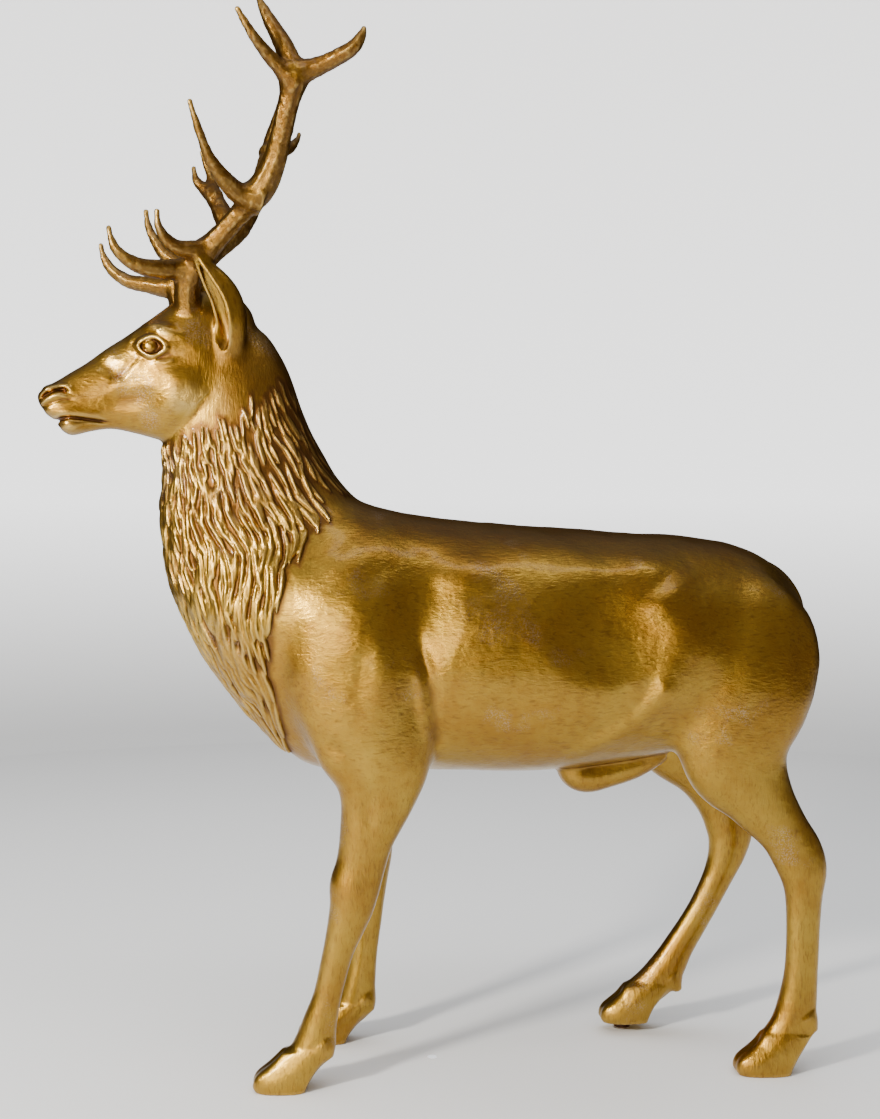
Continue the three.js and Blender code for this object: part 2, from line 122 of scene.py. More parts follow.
# [x, y, z, half depth, half width] from the shoulder blade or hip down to the coronet
LEFT_FORE = table(5, """
    -150 -92 1142 66 40   -188 -124 1052 112 60   -206 -142 952 132 70   -190 -150 842 140 72
    -160 -150 742 126 66   -140 -147 658 112 57   -142 -142 595 82 46   -162 -136 515 58 38
    -175 -132 455 52 35   -187 -131 412 53 37   -195 -131 365 46 35   -218 -131 290 34 26
    -231 -131 240 31 24   -244 -131 185 31 24   -260 -131 130 37 28   -270 -131 90 43 31
    -294 -131 60 37 30   -310 -131 42 37 30""")
RIGHT_FORE = table(5, """
    -150 92 1142 66 40   -188 124 1052 112 60   -202 142 952 132 70   -186 150 842 140 72
    -156 150 742 126 66   -132 148 658 110 57   -132 144 585 80 46   -138 141 512 56 38
    -142 140 450 50 35   -147 139 410 51 37   -148 139 360 43 34   -149 139 290 34 26
    -154 139 235 31 24   -161 139 180 32 24   -169 139 128 37 28   -176 139 88 43 31
    -199 139 60 37 30   -214 139 42 37 30""")
LEFT_HIND = table(5, """
    585 -72 1045 60 36   618 -105 992 100 60   648 -118 912 144 74   642 -126 822 143 79
    618 -130 742 134 72   618 -132 660 119 58   664 -130 580 78 46   715 -128 510 57 36
    745 -127 462 57 33   759 -127 420 53 32   761 -127 368 41 28   759 -127 290 37 25
    755 -127 213 37 25   745 -127 135 44 29   734 -127 96 47 31   708 -127 66 41 30
    694 -127 48 40 30""")
RIGHT_HIND = table(5, """
    585 72 1045 60 36   616 105 992 100 60   628 118 912 140 74   604 128 822 140 78
    562 134 742 128 70   556 138 666 102 58   614 142 590 68 44   655 145 520 54 36
    680 147 458 55 33   677 149 408 46 32   659 151 355 37 28   630 152 295 33 25
    597 153 238 33 25   562 154 182 36 27   536 154 138 42 30   506 154 104 42 31
    472 154 80 38 30   452 154 64 37 30""")
# [heel x, y, sole z, length] of each hoof
HOOVES = [
    [-288, -131, 0, 101], [-200, 139, 0, 101], [726, -127, 0, 109],
    [486, 154, STUD_HEIGHT, 101],
]
# [height, heel moved back, toe moved back, width] up one hoof, from the sole to the coronet
HOOF = [
    [-8, 0, 0, 0.9], [0, 0, 0, 0.92], [12, 4, -6, 1.0], [32, 14, 1, 0.95], [54, 27, 28, 0.82],
    [78, 40, 54, 0.5],
]
# [hoof, base x, base z, tip x, tip z] of the dewclaws behind each fetlock
DEWCLAWS = [
    [0, -252, 90, -240, 66], [1, -158, 90, -146, 68], [2, 762, 116, 778, 88],
    [3, 542, 118, 560, 88],
]
# [x, y, z, half depth, half width]
TAIL = table(5, """
    640 0 1078 8 12   690 0 1064 15 20   724 0 1049 21 26   756 0 1022 21 27   783 0 985 17 22
    800 0 944 8 10""")
SHEATH = table(5, """
    263 0 642 14 24   286 0 620 32 36   318 0 607 36 38   368 0 616 34 36   428 0 632 30 34
    490 0 656 18 26""")
LEFT_EAR = table(5, """
    -456 -64 1492 24 18   -452 -80 1537 29 25   -454 -91 1582 33 28   -468 -100 1624 32 24
    -492 -108 1660 25 17   -515 -114 1690 12 9   -526 -116 1703 4 4""")
# [x, y, z, radius] along each beam and its tines, in the frame of the unturned head
LEFT_ANTLER = [table(4, run) for run in """
    -538 -42 1597 27   -541 -56 1642 27   -530 -70 1682 30   -506 -94 1715 26
    -474 -122 1749 22   -436 -155 1790 22   -401 -188 1830 28   -380 -212 1875 24
    -367 -238 1927 21   -356 -262 1982 21   -346 -276 2022 25   -338 -282 2048 20,
    -528 -66 1678 21   -560 -74 1680 21   -596 -86 1677 20   -634 -97 1679 17
    -666 -107 1692 13   -688 -112 1712 10   -698 -112 1738 6   -701 -110 1758 2,
    -500 -98 1718 18   -534 -112 1715 19   -566 -123 1717 15   -589 -135 1731 12
    -604 -145 1756 8   -606 -148 1788 2,
    -404 -180 1812 32   -447 -190 1818 22   -480 -215 1841 17   -506 -235 1870 12
    -523 -250 1904 9   -537 -262 1940 7   -550 -270 1978 2,
    -344 -280 2034 23   -365 -275 2088 19   -389 -262 2137 14   -406 -250 2174 9
    -417 -243 2198 2,
    -350 -280 2017 20   -376 -295 2040 15   -401 -306 2062 13   -430 -325 2089 10
    -451 -335 2116 7   -465 -340 2138 2,
    -342 -280 2036 23   -315 -291 2045 20   -289 -304 2054 17   -264 -318 2065 16
    -239 -330 2080 14   -224 -338 2100 10   -218 -341 2120 4
""".split(",")]
RIGHT_ANTLER = [table(4, run) for run in """
    -538 42 1597 27   -550 60 1647 27   -543 72 1684 29   -510 96 1718 26   -471 125 1760 24
    -425 156 1804 23   -393 184 1854 22   -367 216 1918 20   -348 250 1982 20   -334 274 2026 19,
    -540 68 1672 22   -578 77 1667 23   -618 87 1672 18   -659 97 1680 15   -691 105 1701 12
    -708 110 1726 9   -715 111 1746 5   -717 110 1762 2,
    -512 98 1717 18   -550 110 1724 16   -580 120 1744 14   -601 130 1775 11   -616 140 1810 8
    -621 145 1847 2,
    -424 158 1800 26   -438 174 1828 26   -452 191 1860 22   -464 210 1896 17   -474 236 1950 10
    -486 245 1986 7   -494 251 2010 2,
    -466 208 1892 16   -488 222 1914 12   -506 233 1938 9   -512 240 1971 2,
    -336 270 2016 18   -322 276 2072 15   -308 272 2132 10   -294 261 2187 2,
    -335 272 2012 17   -325 292 2072 13   -312 308 2122 9   -299 320 2164 2,
    -340 266 2010 18   -312 288 2026 15   -284 312 2042 12   -265 331 2066 8   -255 344 2089 2
""".split(",")]

# Soft forms seen from the side: [x, z, half length, half height, nose-up tilt, rise]
MUSCLES = [
    [-335, 1000, 85, 95, 0.3, 8],       # point of the shoulder
    [-165, 985, 120, 130, 0.2, 12],     # shoulder blade
    [-165, 1095, 90, 42, -0.5, 5],      # its upper ridge
    [-118, 860, 52, 125, 0.15, 9],      # triceps
    [-58, 975, 78, 120, 0.22, -12],     # hollow behind the shoulder
    [40, 1060, 95, 40, -0.1, 5],        # top of the ribs
    [40, 880, 110, 170, 0.1, 5],        # spring of the ribs
    [425, 1068, 75, 40, 0.1, 6],        # hip bone
    [310, 935, 125, 105, 0.35, -15],    # hollow of the flank
    [600, 900, 120, 130, 0.0, 6],       # thigh
    [740, 900, 34, 110, 0.1, -5],       # groove before the buttock
]
# Long creases and ridges seen from the side: [half width, rise, points]
CREASES = [
    [14, -8, [(-66, 930), (-42, 861), (-30, 800), (-22, 740), (-17, 685)]],
    [12, 4, [(-66, 870), (-58, 820), (-48, 760), (-40, 710)]],
    [60, 15, [(440, 1040), (466, 1005), (486, 955), (486, 890), (462, 816), (450, 740)]],
    [24, 6, [(456, 850), (430, 794), (388, 750), (330, 712), (262, 668)]],
    [18, -5, [(424, 845), (388, 790), (340, 748), (270, 712)]],
    [16, -3, [(380, 830), (330, 775), (250, 735)]],
    [26, -6, [(-335, 900), (-352, 820), (-335, 755), (-290, 700)]],
    [16, -5, [(-250, 720), (-205, 690), (-160, 600), (-160, 520)]],
]

# The rear edge of the ruff, from the withers to the brisket, and its upper edge under the jaw
RUFF_BACK = [(-190, 1240), (-205, 1206), (-248, 1143), (-299, 1082), (-329, 1022),
             (-349, 981), (-359, 901), (-359, 820), (-339, 760), (-300, 690)]
RUFF_TOP = [(-620, 1330), (-576, 1342), (-535, 1360), (-494, 1372), (-453, 1382),
            (-413, 1412), (-378, 1450), (-330, 1480), (-250, 1480)]


# ---- sections and skins ------------------------------------------------------------------

def unit(ways):
    return ways / np.maximum(np.linalg.norm(ways, axis=-1, keepdims=True), 1e-9)


def signed_power(value, power):
    return np.sign(value) * np.abs(value) ** power


def smoothed(stations, steps):
    """Rows of numbers on a smooth curve through the stations, `steps` to each stretch."""
    rows = np.array(stations, float)
    before = np.vstack([rows[:1], rows[:-2]])
    after = np.vstack([rows[2:], rows[-1:]])
    start, end = rows[:-1], rows[1:]
    leave, arrive = (end - before) / 2, (after - start) / 2
    bend = 3 * (end - start) - 2 * leave - arrive
    turn = 2 * (start - end) + leave + arrive
    t = (np.arange(steps) / steps)[None, :, None]
    curve = start[:, None] + t * (leave[:, None] + t * (bend[:, None] + t * turn[:, None]))
    return np.vstack([curve.reshape(-1, rows.shape[1]), rows[-1:]])


def all_round(count):
    return np.arange(count) * 2 * math.pi / count


def oval(centre, long, wide, drop, angles, power):
    """One oval section per row: `long` and `wide` are its half-axes."""
    ahead = signed_power(np.cos(angles), 2 / power)
    aside = signed_power(np.sin(angles), 2 / power)
    reach = np.where(ahead < 0, ahead * drop, ahead)
    return (centre[:, None] + long[:, None] * reach[None, :, None]
            + wide[:, None] * aside[None, :, None])


def bands(rows, count):
    """Quads between neighbouring rings of `count` points."""
    a = (np.arange(rows - 1)[:, None] * count + np.arange(count)).ravel()
    b = (np.arange(rows - 1)[:, None] * count + (np.arange(count) + 1) % count).ravel()
    return np.stack([a, b, b + count, a + count], 1)


def skin(rings):
    """Points and triangles of a closed body skinned over sections of equal count."""
    rows, count = rings.shape[:2]
    points = np.vstack([rings.reshape(-1, 3), rings[0].mean(0), rings[-1].mean(0)])
    quads = bands(rows, count)
    i = np.arange(count)
    j = (i + 1) % count
    first, end = rows * count, (rows - 1) * count
    return points, np.vstack([
        quads[:, :3], quads[:, [0, 2, 3]], np.stack([np.full(count, first), j, i], 1),
        np.stack([np.full(count, first + 1), end + i, end + j], 1)])


def paired(rows, share, angles, power):
    """Sections between two opposite points of the middle plane."""
    zero = np.zeros(len(rows))
    head = np.stack([rows[:, 0], zero, rows[:, 1]], 1)
    foot = np.stack([rows[:, 2], zero, rows[:, 3]], 1)
    centre = head + (foot - head) * share
    wide = np.stack([zero, rows[:, 4], zero], 1)
    return oval(centre, head - centre, wide, (1 - share) / share, angles, power)


def limb_rings(stations, steps, count, power=2.1):
    rows = smoothed(stations, steps)
    around = np.vstack([rows[:1], rows, rows[-1:]])
    along = unit((around[2:] - around[:-2])[:, [0, 2]])
    zero = np.zeros(len(rows))
    long = np.stack([along[:, 1], zero, -along[:, 0]], 1) * rows[:, 3:4]
    wide = np.stack([zero, rows[:, 4], zero], 1)
    return oval(rows[:, :3], long, wide, 1, all_round(count), power)


def tube_rings(rows, count, relief=None):
    """Round sections carried along a curve without twisting; `relief` swells them."""
    places = rows[:, :3]
    angles = all_round(count)
    side = np.array([0.0, 1.0, 0.0])
    travelled = np.append(0, np.cumsum(np.linalg.norm(np.diff(places, axis=0), axis=1)))
    rings = []
    for i, (place, radius) in enumerate(zip(places, rows[:, 3])):
        along = unit(places[min(i + 1, len(rows) - 1)] - places[max(i - 1, 0)])
        side = unit(side - side.dot(along) * along)
        up = np.cross(along, side)
        swell = relief(angles, travelled[i], radius) if relief else np.zeros(count)
        ring = np.outer(np.cos(angles), up) + np.outer(np.sin(angles), side)
        rings.append(place + ring * (radius + swell)[:, None])
    return np.array(rings)


def turned(points, way=1):
    """Points of the head turned to the left about its pivot, or back with `way` -1."""
    c, s = math.cos(HEAD_TURN), way * math.sin(HEAD_TURN)
    x, y, z = points[:, 0] - HEAD_PIVOT, points[:, 1], points[:, 2]
    return np.stack([x * c - y * s + HEAD_PIVOT, x * s + y * c, z], 1)


def turned_skin(rings):
    points, faces = skin(rings)
    return turned(points), faces


def merged(solids):
    """Several closed bodies as one set of points and triangles."""
    points, faces, count = [], [], 0
    for p, f in solids:
        points.append(p)
        faces.append(f + count)
        count += len(p)
    return np.vstack(points), np.vstack(faces)


# ---- clay: distances to the surface on a grid of small cells -------------------------------

def clay(solid, cell, reach):
    """A grid of distances to a closed body, true to `reach` either side of its surface."""
    points, faces = solid
    return openvdb.FloatGrid.createLevelSetFromPolygons(
        points=points.astype(np.float32), triangles=faces.astype(np.uint32),
        transform=openvdb.createLinearTransform(voxelSize=cell), halfWidth=reach / cell)


def cells(place, cell):
    return np.floor(np.array(place) / cell).astype(int)


def filled(shape, start, grid):
    block = np.empty(shape, np.float32)
    grid.copyToArray(block, ijk=tuple(int(v) for v in start))
    return block


def region(low, high):
    return tuple(slice(int(p), int(q)) for p, q in zip(low, high))


def between(t, value):
    """What `value` gives at the eight cells round each place, shared out by nearness."""
    total = 0.0
    for corner in range(8):
        d = np.array([corner & 1, corner >> 1 & 1, corner >> 2 & 1])
        total = total + np.prod(np.where(d, t, 1 - t), axis=1) * value(d)
    return total


def soft_min(a, b, blend):
    """The union of two distance fields, rounded over a width of `blend` where they meet."""
    near = np.maximum(blend - np.abs(a - b), 0) / blend
    return np.minimum(a, b) - near * near * (blend / 4)


def soft_max(a, b, blend):
    return -soft_min(-a, -b, blend)


def step(low, high, value):
    t = np.clip((value - low) / (high - low), 0, 1)
    return t * t * (3 - 2 * t)


def blurred(field, half, passes=3):
    """Box blurs along each axis, which together are close to a bell curve."""
    width = 2 * half + 1
    for axis in (0, 1, 2):
        field = np.moveaxis(field, axis, 0)
        for _ in range(passes):
            padded = np.pad(field, [(half + 1, half), (0, 0), (0, 0)], mode="edge")
            total = np.cumsum(padded, axis=0, dtype=np.float64)
            field = ((total[width:] - total[:-width]) / width).astype(np.float32)
        field = np.moveaxis(field, 0, axis)
    return field


def to_line(x, z, points):
    """Distance from each place to a bent line, and how far along it the nearest point is."""
    best = np.full(np.shape(x), 1e9)
    place = np.zeros(np.shape(x))
    spans = len(points) - 1
    for i, ((ax, az), (bx, bz)) in enumerate(zip(points[:-1], points[1:])):
        dx, dz = bx - ax, bz - az
        t = np.clip(((x - ax) * dx + (z - az) * dz) / (dx * dx + dz * dz), 0, 1)
        d = np.hypot(x - ax - t * dx, z - az - t * dz)
        closer = d < best
        best = np.where(closer, d, best)
        place = np.where(closer, (i + t) / spans, place)
    return best, place


def mound(x, z, form):
    """A smooth rise over an ellipse seen from the side, nothing outside it."""
    cx, cz, rx, rz, tilt, rise = form
    c, s = math.cos(tilt), math.sin(tilt)
    u = ((x - cx) * c - (z - cz) * s) / rx
    v = ((x - cx) * s + (z - cz) * c) / rz
    return rise * np.clip(1 - (u * u + v * v) / 1.6, 0, 1) ** 2 * 1.15


def crease(x, z, form):
    """A rise or a hollow along a bent line, fading out at its two ends."""
    width, rise, points = form
    d, place = to_line(x, z, points)
    fade = step(0, 0.18, place) * step(0, 0.18, 1 - place)
    return rise * np.exp(-(d / width) ** 2) * (0.25 + 0.75 * fade)


def hashed(i, j, k, seed):
    """A repeatable number from 0 to 1 for each whole-number place."""
    n = (i.astype(np.int64) * 73856093) ^ (j.astype(np.int64) * 19349663)
    n = (n ^ (k.astype(np.int64) * 83492791) ^ (seed * 2654435761)) & 0xFFFFFFFF
    n = ((n ^ (n >> 15)) * 2246822519) & 0xFFFFFFFF
    n = ((n ^ (n >> 13)) * 3266489917) & 0xFFFFFFFF
    return ((n ^ (n >> 16)) & 0xFFFFFF) / float(0xFFFFFF)


def grain(points, seed=0):
    """Smooth random values from -1 to 1, one unit of length to a cell."""
    base = np.floor(points).astype(np.int64)
    t = points - base
    return between(t * t * (3 - 2 * t), lambda d: hashed(*(base + d).T, seed)) * 2 - 1


# ---- the forms of the animal ---------------------------------------------------------------

def body_clay(cell):
    """Trunk, neck and legs run together, with the muscles laid on; returns field and corner."""
    low, high = cells([-660, -270, -40], cell), cells([860, 270, 1640], cell)
    reach = 12 * cell
    x, y, z = (np.arange(low[a], high[a]) * cell for a in (0, 1, 2))

    def laid(rings):
        return filled(high - low, low, clay(skin(rings), cell, reach))

    angles = all_round(72)
    trunk = smoothed(TRUNK, 8)[:, [0, 1, 0, 2, 3]]
    field = np.minimum(laid(paired(trunk, 0.54, angles, 2.15)),
                       laid(paired(smoothed(NECK, 8), 0.5, angles, 2.1)))
    for rows in (LEFT_FORE, RIGHT_FORE, LEFT_HIND, RIGHT_HIND):
        field = np.minimum(field, laid(limb_rings(rows, 8, 48)))
    wide = blurred(field, max(1, round(15 / cell)))
    slim = blurred(field, 1)
    upright = step(*FINE_HEIGHT, z)[None, None, :]
    weight = np.broadcast_to(upright, field.shape).astype(np.float32)
    field = slim + (wide - slim) * weight - 1.2 * weight
    across, up = np.meshgrid(x, z, indexing="ij")
    rise = sum(mound(across, up, form) for form in MUSCLES)
    rise = rise + sum(crease(across, up, form) for form in CREASES)
    sides = step(45, 105, np.abs(y))
    field -= (rise[:, None, :] * sides[None, :, None]).astype(np.float32)
    near = np.argwhere(np.abs(field) < 3 * cell)
    places = (near + low) * cell
    uneven = grain(places / 62.0, 11) * 1.5 + grain(places / 27.0, 12) * 0.6
    uneven = uneven * (0.35 + 0.65 * step(*FINE_HEIGHT, places[:, 2]))
    uneven = uneven + grain(places / 105.0, 13) * 3.2 * step(980, 1090, places[:, 2])
    field[tuple(near.T)] -= uneven
    for rows, blend in ((TAIL, TAIL_BLEND), (SHEATH, SHEATH_BLEND)):
        field = soft_min(field, laid(limb_rings(rows, 6, 32)), blend)
    return field.astype(np.float32), low


def refined(field):
    """The same field on cells of half the size, on smooth curves between the old places."""
    for axis in (0, 1, 2):
        field = np.moveaxis(field, axis, 0)
        before = np.concatenate([field[:1], field[:-1]])
        after = np.concatenate([field[1:], field[-1:]])
        fine = np.empty((2 * field.shape[0], *field.shape[1:]), np.float32)
        fine[0::2] = 0.125 * before + 0.75 * field + 0.125 * after
        fine[1::2] = 0.5 * field + 0.5 * after
        field = np.moveaxis(fine, 0, axis)
    return field


SKULL_FORMS = [
    # [x, z, half length, half height, nose-up tilt, rise]
    [-614, 1526, 46, 32, 0.3, 7],       # orbit
    [-592, 1556, 44, 17, 0.35, 7],      # brow
    [-540, 1412, 78, 62, 0.2, 7],       # cheek
    [-655, 1412, 55, 26, -0.1, -5],     # hollow before the cheek
    [-700, 1478, 62, 20, 0.55, -4],     # hollow beside the nose bone
    [-818, 1432, 26, 13, 0.4, 5],       # wing of the nostril
    [-776, 1354, 30, 13, -0.1, 5],      # lower lip and chin
    [-822, 1385, 18, 12, 0.2, 4],       # upper lip
    [-560, 1490, 50, 30, 0.2, -3],      # temple
]
SKULL_LINES = [
    # [half width, rise, points]
    [3.6, -9, [(-838, 1410), (-826, 1421), (-808, 1429), (-792, 1431), (-783, 1425)]],
    [4.0, 4.0, [(-836, 1424), (-820, 1434), (-800, 1441), (-784, 1439), (-774, 1428)]],
    [4.0, 3.5, [(-840, 1402), (-820, 1413), (-800, 1420), (-784, 1417)]],
    [3.4, -3.2, [(-834, 1396), (-812, 1405), (-790, 1411), (-770, 1411)]],
    [3.2, -7, [(-824, 1366), (-802, 1371), (-780, 1374), (-755, 1372), (-725, 1369),
               (-695, 1366)]],
    [6.0, 2.4, [(-812, 1382), (-780, 1386), (-745, 1383), (-710, 1380)]],
    [6.5, -2.2, [(-640, 1506), (-656, 1486), (-676, 1464), (-706, 1438)]],
    [5.5, 1.2, [(-632, 1497), (-648, 1476), (-666, 1454), (-694, 1428)]],
    [5.0, 2.2, [(-660, 1520), (-656, 1543), (-638, 1560), (-610, 1567), (-584, 1558)]],
    [7.0, -3, [(-610, 1500), (-590, 1498), (-570, 1506)]],
    [6.0, 3, [(-612, 1490), (-590, 1487), (-566, 1494)]],
    [14, -2.2, [(-640, 1380), (-612, 1392), (-594, 1430), (-584, 1470)]],
]
LIP_NOTCH = [4.5, -10, [(-822, 1362), (-806, 1368), (-786, 1373)]]
def head_clay(cell):
    """The skull with the face modelled on it, and its two ears."""
    low, high = cells([-880, -190, 1280], cell), cells([-350, 190, 1740], cell)
    reach = 10 * cell

    def laid(rings):
        return filled(high - low, low, clay(turned_skin(rings), cell, reach))

    skull = paired(smoothed(HEAD, 8), 0.52, all_round(72), 2.2)
    field = blurred(laid(skull), max(1, round(5 / cell)))
    near = np.argwhere(np.abs(field) < 4 * cell)
    places = turned((near + low) * cell, -1)
    x, z, out = places[:, 0], places[:, 2], np.abs(places[:, 1])
    beside = step(6, 18, out)
    value = field[tuple(near.T)]
    value = value - beside * sum(mound(x, z, form) for form in SKULL_FORMS)
    value = value - beside * sum(crease(x, z, form) for form in SKULL_LINES)
    value = value - crease(x, z, LIP_NOTCH)
    c, s = math.cos(EYE_TILT), math.sin(EYE_TILT)
    u = ((x - EYE_AT[0]) * c - (z - EYE_AT[1]) * s) / EYE_HALF[0]
    v = ((x - EYE_AT[0]) * s + (z - EYE_AT[1]) * c) / EYE_HALF[1]
    almond = np.hypot(u, v * (1 + 0.3 * u * u))
    # the lids stand proud around a sunken opening, and the ball fills it again
    value = value - 2.9 * np.exp(-((almond - 1.14) / 0.26) ** 2) * beside
    value = value + 1.6 * np.exp(-((almond - 1.55) / 0.2) ** 2) * beside
    value = value + 13 * (1 - step(0.72, 0.98, almond)) * beside
    deep = eye_depth(field, low, cell) - EYEBALL + 3.0
    ball = np.sqrt((x - EYE_AT[0]) ** 2 + (z - EYE_AT[1]) ** 2 + (out - deep) ** 2) - EYEBALL
    field[tuple(near.T)] = soft_min(value, ball, 1.5)
    for side in (-1, 1):
        field = soft_min(field, ear_field(side, laid), EAR_BLEND)
    return field.astype(np.float32), low


def eye_depth(field, low, cell):
    """How far the face stands from the middle plane at the eye."""
    offsets = np.arange(20, 130, cell / 2)
    places = np.array([[EYE_AT[0], -offset, EYE_AT[1]] for offset in offsets])
    index = np.round(turned(places) / cell).astype(int) - low
    return float(offsets[np.argmax(field[tuple(index.T)] > 0)])


def ear_field(side, laid):
    """One ear: a leaf with a cup hollowed out of it and a bead along each rim."""
    stations = [[x, -y * side, *rest] for x, y, *rest in LEFT_EAR]
    outer = limb_rings(stations, 8, 40, 2)
    rows = [[x - d * 0.72, y + side * w * 0.43, z + 4, d * 0.68, w * 0.86]
            for x, y, z, d, w in stations[1:-1]]
    x, y, z, d, w = rows[0]
    rows = [[x + 2, y, z - 30, d * 0.25, w * 0.25], [x + 1, y, z - 15, d * 0.7, w * 0.7], *rows]
    field = soft_max(laid(outer), -laid(limb_rings(rows, 8, 32, 2)), 3)
    leaf = outer[6:-3]
    count = np.arange(len(leaf))
    taper = np.minimum(1, np.minimum(count + 2, len(leaf) - count) / 8)[:, None]
    for edge, thick in ((20 - side * 9, 5.6), (20 + side * 2, 3.6)):
        rim = leaf[:, edge] * 0.9 + leaf.mean(1) * 0.1
        field = soft_min(field, laid(tube_rings(np.hstack([rim, thick * taper]), 12)), 5)
    return field


def antler_relief(angles, travelled, radius):
    """Grooves that run up the beam, wandering a little, fading out where it is thin."""
    wander = 0.5 * math.sin(travelled / 45.0)
    grooves = np.sin(7 * angles + wander) * 0.03 + np.sin(11 * angles - 2 * wander) * 0.02
    return radius * grooves * step(4, 14, radius)


def blunted(rows):
    """The same tapering run with a rounded end instead of a needle point."""
    strides = np.linalg.norm(np.diff(rows[:, :3], axis=0), axis=1)
    left = np.append(np.cumsum(strides[::-1])[::-1], 0.0)
    end = TINE_END * np.sqrt(np.clip(1 - (1 - left / TINE_END).clip(0, 1) ** 2, 0.02, 1))
    rows = rows.copy()
    rows[:, 3] = np.minimum(np.maximum(rows[:, 3], end), np.where(left < TINE_END, end, 1e9))
    return rows


def antler_grids(parts, cell, reach):
    """The beam, rounder and finer, and its tines."""
    counts = [40] + [28] * (len(parts) - 1)
    return [clay(turned_skin(tube_rings(blunted(smoothed(rows, 12)), count, antler_relief)),
                 cell, reach) for rows, count in zip(parts, counts)]


def hoof_solid(index, side):
    """One flat-soled claw of a cloven hoof."""
    heel, y, sole, length = HOOVES[index]
    rows = smoothed(HOOF, 6)
    height, back, toe, width = rows.T
    rear, tip = heel + back, heel - length + toe
    zero = np.zeros(len(rows))
    centre = np.stack([(rear + tip) / 2, zero + y + side * CLAW_APART, sole + height], 1)
    long = np.stack([(tip - rear) / 2, zero - side * 4, zero], 1)
    wide = np.stack([zero, CLAW_HALF * width, zero], 1)
    return skin(oval(centre, long, wide, 1, all_round(40), 2.3))


def dewclaw_solid(spec, side):
    index, base_x, base_z, tip_x, tip_z = spec
    y = HOOVES[index][1]
    return skin(tube_rings(smoothed([
        [base_x, y + side * 11, base_z, 19],
        [(base_x + tip_x) / 2, y + side * 13, (base_z + tip_z) / 2 + 3, 16],
        [tip_x, y + side * 14, tip_z, 8],
    ], 6), 20))


# ---- the ruff ------------------------------------------------------------------------------

def neck_place(rows, u, angle):
    """A point of the neck's surface at station `u` and angle `angle` from the throat."""
    i = np.clip(u * 8, 0, len(rows) - 1.001)
    base = np.floor(i).astype(int)
    t = (i - base)[:, None]
    row = rows[base] * (1 - t) + rows[base + 1] * t
    ahead = signed_power(np.cos(angle), 2 / 2.1)
    aside = signed_power(np.sin(angle), 2 / 2.1)
    x = (row[:, 0] + row[:, 2]) / 2 + (row[:, 0] - row[:, 2]) / 2 * ahead
    z = (row[:, 1] + row[:, 3]) / 2 + (row[:, 1] - row[:, 3]) / 2 * ahead
    return np.stack([x, row[:, 4] * aside, z], 1)


def read_clay(field, low, cell, places):
    """Values of a solid grid of distances between its cells."""
    index = places / cell - low
    base = np.clip(np.floor(index).astype(int), 0, np.array(field.shape) - 2)
    return between(index - base, lambda d: field[tuple((base + d).T)])


def settled(places, *clay_below):
    """Places moved onto the surface of the clay, and the way straight out of it there."""
    span = np.eye(3) * 1.5 * clay_below[2]
    for _ in range(4):
        slope = unit(np.stack([read_clay(*clay_below, places + offset)
                               - read_clay(*clay_below, places - offset)
                               for offset in span], 1))
        places = places - slope * read_clay(*clay_below, places)[:, None]
    return places, slope


def ruff_locks(width, length, clay_below, seed=7):
    """Long wavy locks laid down the neck in overlapping rows, each a tapering flat leaf."""
    random = np.random.default_rng(seed)
    rows = smoothed(NECK, 8)
    back_x, back_z = np.array(RUFF_BACK[::-1], float).T
    top_x, top_z = np.array(RUFF_TOP, float).T
    around = np.linspace(-math.pi, math.pi, 361)
    t = np.linspace(0, 1, 11)
    turn = all_round(12)
    locks = []
    for row_number, u in enumerate(np.arange(0.3, 9.7, 0.45)):
        early = 0.66 + 0.34 * step(1.5, 4.5, u)
        ring = neck_place(rows, np.full(361, u), around)
        arc = np.concatenate([[0], np.cumsum(np.linalg.norm(np.diff(ring, axis=0), axis=1))])
        middle = np.interp(0, around, arc)
        half = 0.93 * middle
        pitch = width * early
        places = np.arange(-half, half, pitch) + (row_number % 2) * pitch / 2
        for place in places:
            jitter = random.normal(size=6)
            angle = np.interp(middle + place + jitter[0] * width * 0.1, arc, around)
            start = u + jitter[1] * 0.16
            long = length * (0.75 + 0.35 * abs(jitter[2])) * (0.6 + 0.4 * step(1, 4, u))
            ends = neck_place(rows, start + np.arange(2.0), np.full(2, angle))
            us = start + t * long / max(np.linalg.norm(ends[1] - ends[0]), 25)
            us = us - max(us[-1] - 10.15, 0)
            wave = 3.1 * us + 2.2 * math.sin(place / 37.0) + 1.3 * math.sin(place / 16.0 + u)
            sway = width * (0.30 * np.sin(wave) + 0.40 * jitter[4] * t)
            per_angle = np.interp(angle, around[:-1], np.diff(arc)) * 180 / math.pi
            angles = angle + sway / max(per_angle, 20)
            line = neck_place(rows, us, angles)
            root_top = np.interp(line[0, 0], top_x, top_z) + 6 * jitter[5]
            reach_back = np.interp(line[:, 2], back_z, back_x, right=1e9) + 8
            if line[0, 2] > root_top or (line[:, 0] > reach_back).any():
                continue
            side = neck_place(rows, us, angles + 0.02) - line
            line, out = settled(line, *clay_below)
            side = unit(side - (side * out).sum(1)[:, None] * out)
            nape = 1 - 0.65 * step(2.1, 2.8, abs(angle))
            size = width * (0.9 + 0.1 * jitter[5]) * early
            profile = size * (np.sqrt(t) * (1 - t ** 2.2) ** 0.8 * 1.25 + 0.04)
            lift = (-4.0 + 10.5 * t ** 0.8 * (1 - 0.3 * t)) * nape * early
            wide, thick = side * profile[:, None] * 0.60, out * profile[:, None] * 0.72 * nape
            locks.append(skin((line + out * lift[:, None])[:, None]
                              + wide[:, None] * np.cos(turn)[:, None]
                              + thick[:, None] * signed_power(np.sin(turn), 1.6)[:, None]))
    return locks


# ---- the casting ---------------------------------------------------------------------------

